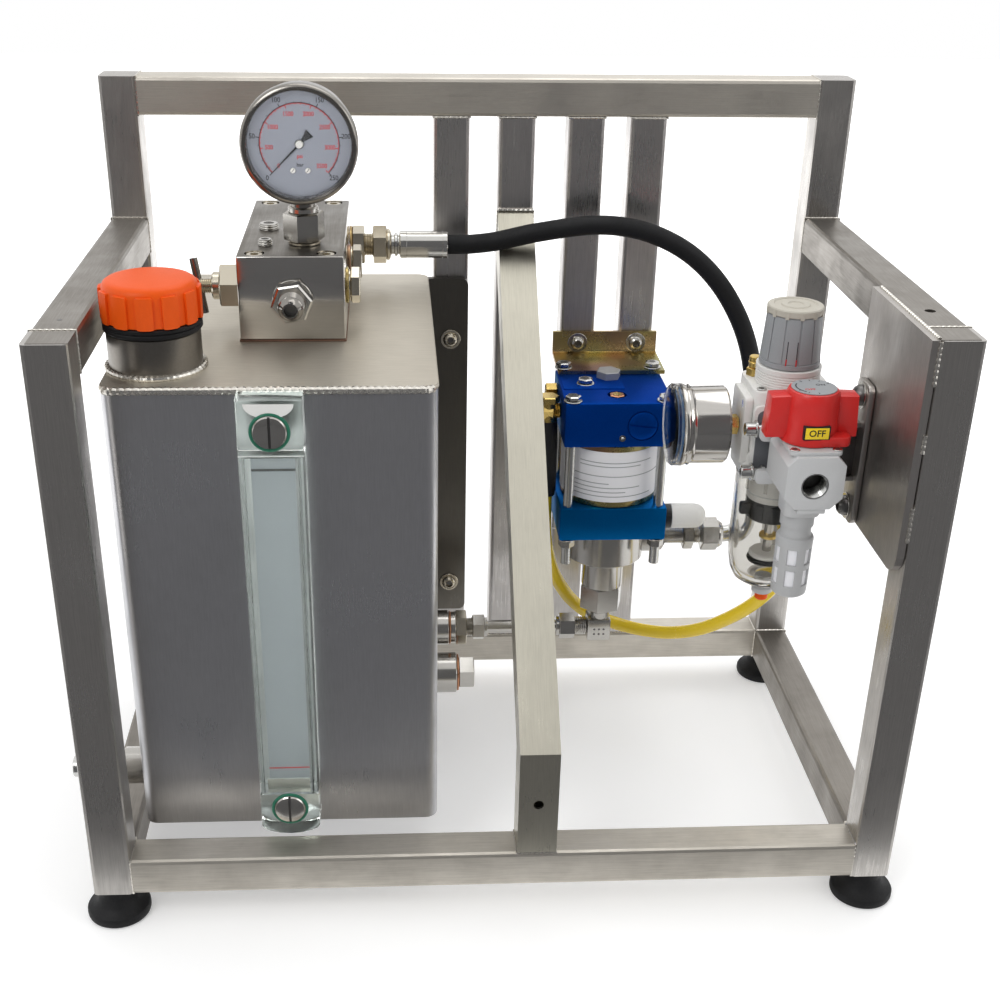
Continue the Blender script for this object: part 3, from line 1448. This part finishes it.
def make_hose():
    """The hydraulic hose with its end at the manifold and its elbow end at the pump."""
    y = hose_y
    z = port_height
    start = manifold_right + touch_gap
    end = hexagon((start, y, z), RIGHT, hose_adaptor_end - start, hose_adaptor_flats)
    join(end, rod((hose_adaptor_end - joint_overlap, y, z), RIGHT,
                  hose_ferrule_start - hose_adaptor_end + 2 * joint_overlap, hose_neck_radius))
    join(end, hexagon((hose_nut_start, y, z), RIGHT, hose_nut_end - hose_nut_start, hose_nut_flats))
    join(end, rod((hose_ferrule_start, y, z), RIGHT, hose_ferrule_end - hose_ferrule_start,
                  hose_ferrule_radius))
    part(end, "hose_end_manifold", bright_steel)

    hose = bpy.data.objects.new("hydraulic_hose", wire(smooth_route(hose_route, hose_point_spacing),
                                                       hose_diameter / 2, hose_resolution))
    parts.objects.link(hose)
    hose.parent = placement
    hose.data.materials.append(black_rubber)

    y = outlet_boss_y
    bend = hose_end_bottom - outlet_boss_height
    points = [Vector((hose_end_x, y, hose_end_bottom + joint_overlap))]
    radius = min(bend, hose_end_x - elbow_nut_end) * elbow_bend_share
    centre = Vector((hose_end_x - radius, y, outlet_boss_height + radius))
    for step in range(elbow_bend_steps + 1):
        angle = math.pi / 2 * step / elbow_bend_steps
        points.append(centre + Vector((math.cos(angle), 0, -math.sin(angle))) * radius)
    points.append(Vector((elbow_nut_end - joint_overlap, y, outlet_boss_height)))
    elbow = wire_solid(points, elbow_tube_radius)
    join(elbow, rod((hose_end_x, y, hose_end_bottom), UP, hose_end_top - hose_end_bottom,
                    hose_ferrule_radius))
    join(elbow, hexagon((elbow_nut_start, y, outlet_boss_height), RIGHT, elbow_nut_end - elbow_nut_start,
                        elbow_nut_flats))
    part(elbow, "hose_end_pump", bright_steel)


def make_pump_bracket():
    """The yellow zinc angle that hangs the pump on the third and fourth uprights."""
    back = back_front - touch_gap
    bottom = valve_block_top + touch_gap
    top = bottom + bracket_thickness
    bracket = box((bracket_left, bracket_front, bottom), (bracket_right, back, top))
    upright = box((bracket_left, back - bracket_thickness, bottom), (bracket_right, back, bracket_top))
    join(bracket, upright)
    head_front = back - bracket_thickness - button_head_height
    for x, height in bracket_bolts:
        join(bracket, rod((x, head_front, height), BACK, button_head_height + joint_overlap,
                          button_head_radius, small_steps))
    for x in tie_rod_xs:
        cut(bracket, rod((x, tie_rod_ys[1], bottom - overrun), UP, bracket_thickness + 2 * overrun,
                         tie_rod_radius + running_gap, small_steps))
    part(bracket, "pump_bracket", zinc_yellow)


def make_valve_block():
    """The pump's head: the air valve block with its plugs, and the spool that shifts in it."""
    block = box((valve_block_left, pump_front, valve_block_bottom),
                (valve_block_right, pump_back, valve_block_top), valve_block_edge, 2)
    join(block, rod((front_plug_x, pump_front + joint_overlap, front_plug_height), FRONT,
                    front_plug_stand + joint_overlap, front_plug_radius))
    join(block, hexagon((pump_x, top_plug_y, valve_block_top - joint_overlap), UP,
                        top_plug_height + joint_overlap, top_plug_flats))
    join(block, rod((top_screw_x, top_screw_y, valve_block_top - joint_overlap), UP,
                    tie_head_height + joint_overlap, tie_head_radius, small_steps))
    join(block, hexagon((valve_block_left + joint_overlap, brass_plug_y, brass_plug_height), LEFT,
                        valve_block_left - brass_plug_end + joint_overlap, brass_plug_flats))
    cut(block, rod((pump_x, top_recess_y, valve_block_top - top_recess_depth), UP,
                   top_recess_depth + overrun, top_recess_radius, hex_sides))
    for x in tie_rod_xs:
        for y in tie_rod_ys:
            cut(block, rod((x, y, valve_block_bottom - overrun), UP,
                           valve_block_top - valve_block_bottom + 2 * overrun,
                           tie_rod_radius + running_gap, small_steps))
    cut(block, rod((spool_x, spool_bore_front, spool_height), BACK, spool_bore_back - spool_bore_front,
                   spool_bore_radius, small_steps))
    cut(block, rod((spool_x, air_passage_y, valve_block_bottom - overrun), UP,
                   spool_height - valve_block_bottom + overrun, air_passage_radius, small_steps))
    part(block, "pump_valve_block", blue_aluminium)

    land = spool_length * spool_land_share
    profile = (
        (0, 0),
        (spool_radius, 0),
        (spool_radius, -land),
        (spool_waist_radius, -land),
        (spool_waist_radius, land - spool_length),
        (spool_radius, land - spool_length),
        (spool_radius, -spool_length),
        (0, -spool_length),
    )
    spool = turned(profile, (spool_x, spool_bore_front + spool_end_gap, spool_height), FRONT, small_steps)
    part(spool, "pump_spool", bright_steel)


def make_air_motor():
    """The air cylinder, the base block with its tie rods, and the piston with its rod."""
    barrel_low = base_block_top + touch_gap
    barrel_height = valve_block_bottom - touch_gap - barrel_low
    ring = (
        (cylinder_bore_radius, barrel_height),
        (cylinder_radius, barrel_height),
        (cylinder_radius, 0),
        (cylinder_bore_radius, 0),
    )
    barrel = turned(ring, (pump_x, pump_y, barrel_low), UP, large_steps, closed=True)
    part(barrel, "pump_air_cylinder", white_plastic)

    base = box((base_block_left, pump_front, base_block_bottom),
               (base_block_right, pump_back, base_block_top), valve_block_edge, 2)
    cut(base, rod((pump_x, pump_y, base_block_bottom - overrun), UP,
                  base_block_top - base_block_bottom + 2 * overrun, rod_bore_radius, medium_steps))
    rear_head = valve_block_top + 2 * touch_gap + bracket_thickness
    front_head = valve_block_top + touch_gap
    nut_top = base_block_bottom + joint_overlap
    for x in tie_rod_xs:
        for y, head_base in zip(tie_rod_ys, (front_head, rear_head)):
            join(base, rod((x, y, tie_rod_bottom), UP, head_base - tie_rod_bottom + joint_overlap,
                           tie_rod_radius, small_steps))
            join(base, rod((x, y, head_base), UP, tie_head_height, tie_head_radius, small_steps))
            join(base, hexagon((x, y, base_block_bottom - tie_nut_height), UP,
                               nut_top - base_block_bottom + tie_nut_height, tie_nut_flats))
    part(base, "pump_base_block", blue_aluminium)

    top = valve_block_bottom - touch_gap - piston_top_gap
    rod_length = top - piston_rod_bottom
    profile = (
        (0, 0),
        (piston_radius, 0),
        (piston_radius, -piston_thickness),
        (piston_rod_radius, -piston_thickness),
        (piston_rod_radius, -rod_length),
        (0, -rod_length),
    )
    piston = turned(profile, (pump_x, pump_y, top), UP, large_steps)
    part(piston, "pump_piston", bright_steel)


def make_high_pressure_body():
    """The stainless lower end of the pump, down to its inlet elbow, with its oil passages."""
    top = base_block_bottom - touch_gap
    block_top = suction_height + inlet_block_size / 2
    block_bottom = suction_height - inlet_block_size / 2
    profile = (
        (0, 0),
        (high_pressure_radius, 0),
        (high_pressure_radius, high_pressure_bottom - top),
        (lower_body_radius, high_pressure_bottom - top),
        (lower_body_radius, lower_body_bottom - top),
        (0, lower_body_bottom - top),
    )
    body = turned(profile, (pump_x, pump_y, top), UP, large_steps)
    inlet_hex = hexagon((pump_x, pump_y, inlet_hex_bottom), UP,
                        lower_body_bottom - inlet_hex_bottom + joint_overlap, inlet_hex_flats)
    neck = rod((pump_x, pump_y, block_top - joint_overlap), UP,
               inlet_hex_bottom - block_top + 2 * joint_overlap, inlet_neck_radius)
    half = inlet_block_size / 2
    elbow = box((suction_end + touch_gap, pump_y - half, block_bottom),
                (suction_end + touch_gap + inlet_block_size, pump_y + half, block_top))
    boss = rod((pump_x + high_pressure_radius / 2, outlet_boss_y, outlet_boss_height), RIGHT,
               outlet_boss_end - pump_x - high_pressure_radius / 2, outlet_boss_radius)
    join(body, inlet_hex, neck, elbow, boss)
    riser_radius = inlet_passage_radius + touch_gap
    riser_bottom = suction_height - riser_radius
    stepped_bore = turned((
        (0, top + overrun),
        (rod_bore_radius, top + overrun),
        (rod_bore_radius, rod_bore_bottom),
        (riser_radius, rod_bore_bottom),
        (riser_radius, riser_bottom),
        (0, riser_bottom),
    ), (pump_x, pump_y, 0), UP)
    inlet = rod((suction_end - overrun, pump_y, suction_height), RIGHT, pump_x - suction_end + 2 * overrun,
                inlet_passage_radius, small_steps)
    outlet = rod((pump_x, outlet_boss_y, outlet_boss_height), RIGHT,
                 outlet_boss_end - pump_x + overrun, inlet_passage_radius, small_steps)
    cut(body, stepped_bore, inlet, outlet)
    part(body, "pump_high_pressure_body", stainless)


def make_pump_outlet():
    """The adaptor between the pump's outlet boss and the hose's elbow end."""
    y = outlet_boss_y
    z = outlet_boss_height
    start = outlet_boss_end + touch_gap
    adaptor = rod((start, y, z), RIGHT, pump_outlet_end - start, pump_outlet_thread_radius)
    join(adaptor, hexagon((start, y, z), RIGHT, pump_outlet_hex_end - start, pump_outlet_flats))
    join(adaptor, hexagon((pump_outlet_second_start, y, z), RIGHT,
                          pump_outlet_end - pump_outlet_second_start, pump_outlet_second_flats))
    part(adaptor, "pump_outlet_adaptor", bright_steel)


def make_muffler():
    """The exhaust muffler on the base block's right side."""
    start = base_block_right + touch_gap
    profile = (
        (0, muffler_end - start),
        (muffler_radius - muffler_round, muffler_end - start),
        (muffler_radius, muffler_end - muffler_round - start),
        (muffler_radius, muffler_collar_end - start),
        (muffler_collar_radius, muffler_collar_end - start),
        (muffler_collar_radius, 0),
        (0, 0),
    )
    muffler = turned(profile, (start, muffler_y, muffler_height), RIGHT)
    part(muffler, "exhaust_muffler", white_plastic)


def make_air_inlet():
    """The pump's air inlet: a brass banjo at the valve block with a push-in body under it."""
    body = rod((air_fitting_x, air_fitting_y, air_fitting_bottom), UP, air_fitting_top - air_fitting_bottom,
               air_fitting_radius)
    banjo_end = valve_block_left - touch_gap
    join(body, hexagon((air_fitting_hex_start, air_fitting_y, air_fitting_height), RIGHT,
                       banjo_end - air_fitting_hex_start, air_fitting_hex_flats))
    part(body, "air_inlet_fitting", black_plastic)

    tube = bpy.data.objects.new("air_tube", wire(smooth_route(air_tube_route, air_tube_spacing),
                                                 air_tube_diameter / 2))
    parts.objects.link(tube)
    tube.parent = placement
    tube.data.materials.append(yellow_tube)


def make_regulator():
    """The filter regulator: its body with the threaded ring, the adjusting screw and the knob."""
    body = box((air_line_x - regulator_half_width, regulator_front, regulator_bottom),
               (air_line_x + regulator_half_width, regulator_back, regulator_top), regulator_edge, 2)
    ring_base = (air_line_x, regulator_y, regulator_top - joint_overlap)
    plug_base = (ring_plug_x, ring_plug_y, regulator_top - joint_overlap)
    arm_start = regulator_back - joint_overlap
    join(body, rod(ring_base, UP, ring_top - regulator_top + joint_overlap, ring_radius))
    join(body, rod(plug_base, UP, ring_plug_height + joint_overlap, ring_plug_radius, small_steps))
    join(body, rod((air_line_x, arm_start, air_line_height), BACK, rear_elbow_y - arm_start,
                   rear_elbow_arm_radius, small_steps))
    join(body, rod((air_line_x, rear_elbow_y, rear_elbow_bottom), UP, rear_elbow_top - rear_elbow_bottom,
                   rear_elbow_radius))
    cut(body, rod((air_line_x, regulator_y, screw_bore_bottom), UP, ring_top - screw_bore_bottom + overrun,
                  screw_bore_radius, medium_steps))
    cut(body, rod((air_line_x, regulator_front - overrun, air_line_height), BACK, air_port_depth + overrun,
                  air_port_radius))
    part(body, "regulator_body", light_grey_plastic)

    screw = rod((air_line_x, regulator_y, adjusting_bottom), UP, adjusting_top - adjusting_bottom,
                adjusting_radius)
    flat_side = regulator_y + adjusting_radius - adjusting_flat
    flat = box((air_line_x - adjusting_radius, flat_side, knob_bottom),
               (air_line_x + adjusting_radius, flat_side + adjusting_radius, adjusting_top + overrun))
    cut(screw, flat)
    about(screw, (air_line_x, regulator_y, adjusting_bottom))
    part(screw, "adjusting_screw", brass)

    height = knob_top - knob_bottom
    profile = (
        (0, height),
        (knob_top_radius - knob_groove_radius, height),
        (knob_top_radius, height - knob_groove_radius),
        (knob_bottom_radius, 0),
        (0, 0),
    )
    knob = turned(profile, (air_line_x, regulator_y, knob_bottom), UP, large_steps)
    for number in range(knob_groove_count):
        angle = 2 * math.pi * number / knob_groove_count
        x = air_line_x + knob_bottom_radius * math.cos(angle)
        y = regulator_y + knob_bottom_radius * math.sin(angle)
        cut(knob, rod((x, y, knob_bottom - overrun), UP, knob_groove_top - knob_bottom + overrun,
                      knob_groove_radius, hex_sides))
    cut(knob, rod((air_line_x, regulator_y, knob_bottom - overrun), UP, knob_bore_top - knob_bottom + overrun,
                  knob_bore_radius))
    part(knob, "regulator_knob", grey_plastic)


def make_filter_bowl():
    """The clear filter bowl with its drain knob, and the element with its baffle inside it."""
    height = bowl_rim_top - bowl_bottom
    profile = (
        (0, bowl_wall),
        (bowl_lower_radius - bowl_wall, bowl_wall),
        (bowl_radius - bowl_wall, bowl_shoulder - bowl_bottom + bowl_wall),
        (bowl_radius - bowl_wall, height),
        (bowl_radius, height),
        (bowl_radius, bowl_shoulder - bowl_bottom),
        (bowl_lower_radius, 0),
        (drain_knob_radius - drain_knob_groove, 0),
        (drain_knob_radius - drain_knob_groove, drain_knob_neck - bowl_bottom),
        (drain_knob_radius, drain_knob_neck - bowl_bottom),
        (drain_knob_radius, drain_knob_bottom - bowl_bottom),
        (0, drain_knob_bottom - bowl_bottom),
    )
    bowl = turned(profile, (air_line_x, regulator_y, bowl_bottom), UP, large_steps)
    part(bowl, "filter_bowl", clear_plastic)

    top = regulator_bottom - touch_gap
    core = (
        (0, 0),
        (holder_radius, 0),
        (holder_radius, holder_bottom - top),
        (element_radius, holder_bottom - top),
        (element_radius, element_bottom - top),
        (element_stem_radius, element_bottom - top),
        (element_stem_radius, baffle_top - top),
        (baffle_radius, baffle_top - top),
        (baffle_radius, baffle_bottom - top),
        (0, baffle_bottom - top),
    )
    element = turned(core, (air_line_x, regulator_y, top), UP, medium_steps)
    part(element, "filter_element", white_plastic)


def make_air_gauge():
    """The small air gauge on the regulator's left side, which faces left, and its needle."""
    body_side = air_line_x - regulator_half_width - touch_gap
    depth = air_gauge_back - air_gauge_front
    start = (air_gauge_front, air_gauge_y, air_gauge_height)
    stem = (rod((air_gauge_back - joint_overlap, air_gauge_y, air_gauge_height), RIGHT,
                body_side - air_gauge_back + joint_overlap, air_gauge_stem_radius, small_steps),)
    make_dial_gauge("air_gauge_case", start, LEFT, air_gauge_radius, depth, air_gauge_back_radius,
                    air_gauge_dial_depth, stem)
    needle_x = air_gauge_front + air_gauge_dial_depth - touch_gap
    make_needle("air_gauge_needle", (needle_x, air_gauge_y, air_gauge_height), LEFT, BACK + DOWN,
                air_needle_length, air_needle_tail, gauge_boss_radius + needle_pin_gap)


def chamfered_outline(left, right, bottom, top, chamfer):
    """A rectangle with cut corners."""
    return [
        (left + chamfer, bottom),
        (right - chamfer, bottom),
        (right, bottom + chamfer),
        (right, top - chamfer),
        (right - chamfer, top),
        (left + chamfer, top),
        (left, top - chamfer),
        (left, bottom + chamfer),
    ]


def make_shutoff_valve():
    """The shut-off valve in front of the regulator, its red knob, and the silencer under it."""
    left = air_line_x - valve_half_width
    right = air_line_x + valve_half_width
    body = slab(chamfered_outline(left, right, valve_bottom, valve_top, valve_chamfer), 1,
                valve_front, valve_back)
    join(body, rod((air_line_x, valve_y, valve_top - joint_overlap), UP,
                   valve_spindle_top - valve_top + joint_overlap, valve_spindle_radius, small_steps))
    join(body, rod((air_line_x, valve_y, silencer_top - joint_overlap), UP,
                   valve_bottom - silencer_top + 2 * joint_overlap, silencer_neck_radius, small_steps))
    join(body, rod((air_line_x, valve_y, silencer_bottom), UP, silencer_top - silencer_bottom,
                   silencer_radius))
    reach = silencer_radius - silencer_slot_depth
    for way in (RIGHT, LEFT, FRONT, BACK):
        middle = Vector((air_line_x, valve_y, silencer_bottom)) + way * (reach + silencer_slot_depth)
        half = Vector((silencer_slot_width / 2, silencer_slot_width / 2, 0))
        half += Vector((abs(way.x), abs(way.y), 0)) * (silencer_slot_depth - silencer_slot_width / 2)
        low = middle - half
        high = middle + half
        low.z = silencer_slot_bottom
        high.z = silencer_slot_top
        cut(body, box(low, high))
    cut(body, rod((air_line_x, valve_front - overrun, air_line_height), BACK,
                  valve_back - valve_front + 2 * overrun, air_port_radius))
    part(body, "shutoff_valve_body", light_grey_plastic)

    wing = valve_knob_wing_width / 2
    knob = rod((air_line_x, valve_y, valve_knob_bottom), UP, valve_knob_top - valve_knob_bottom,
               valve_knob_radius)
    join(knob, box((air_line_x - valve_knob_wing, valve_y - wing, valve_knob_wing_bottom),
                   (air_line_x + valve_knob_wing, valve_y + wing, valve_knob_top - touch_gap),
                   valve_knob_edge))
    cut(knob, rod((air_line_x, valve_y, valve_knob_bottom - overrun), UP,
                  valve_knob_bore_top - valve_knob_bottom + overrun, valve_knob_bore_radius, small_steps))
    about(knob, (air_line_x, valve_y, valve_knob_bottom))
    part(knob, "shutoff_valve_knob", red_plastic)


def make_frl_bracket():
    """The plate on the gusset with the spacer that clamps the valve and the regulator together."""
    corners = (
        (frl_plate_front, frl_plate_bottom, frl_plate_corner),
        (frl_plate_back, frl_plate_bottom, frl_plate_corner),
        (frl_plate_back, frl_plate_top, frl_plate_corner),
        (frl_plate_front, frl_plate_top, frl_plate_corner),
    )
    bracket = slab(rounded(corners), 0, frl_plate_left, frl_plate_right)
    join(bracket, box((spacer_left, spacer_front, spacer_bottom),
                      (frl_plate_left + joint_overlap, spacer_back, spacer_top)))
    for height in frl_bolt_heights:
        join(bracket, rod((frl_plate_left + joint_overlap, frl_bolt_y, height), LEFT,
                          frl_bolt_stand + joint_overlap, frl_bolt_radius, small_steps))
    for height in clamp_bolt_heights:
        join(bracket, rod((spacer_left + joint_overlap, (spacer_front + spacer_back) / 2, height), LEFT,
                          clamp_bolt_length + joint_overlap, clamp_bolt_radius, small_steps))
    cut(bracket, rod((air_line_x, spacer_front - overrun, air_line_height), BACK,
                     spacer_back - spacer_front + 2 * overrun, spacer_bore_radius))
    part(bracket, "regulator_bracket", black_plastic)


make_posts()
make_rails()
make_slats()
make_brace()
make_gusset()
make_feet()
make_tank()
make_filler_cap()
make_level_gauge()
make_drain_plug()
make_suction_line()
make_manifold()
make_pressure_gauge()
make_release_valve()
make_outlet()
make_hose()
make_pump_bracket()
make_valve_block()
make_air_motor()
make_high_pressure_body()
make_pump_outlet()
make_muffler()
make_air_inlet()
make_regulator()
make_filter_bowl()
make_air_gauge()
make_shutoff_valve()
make_frl_bracket()
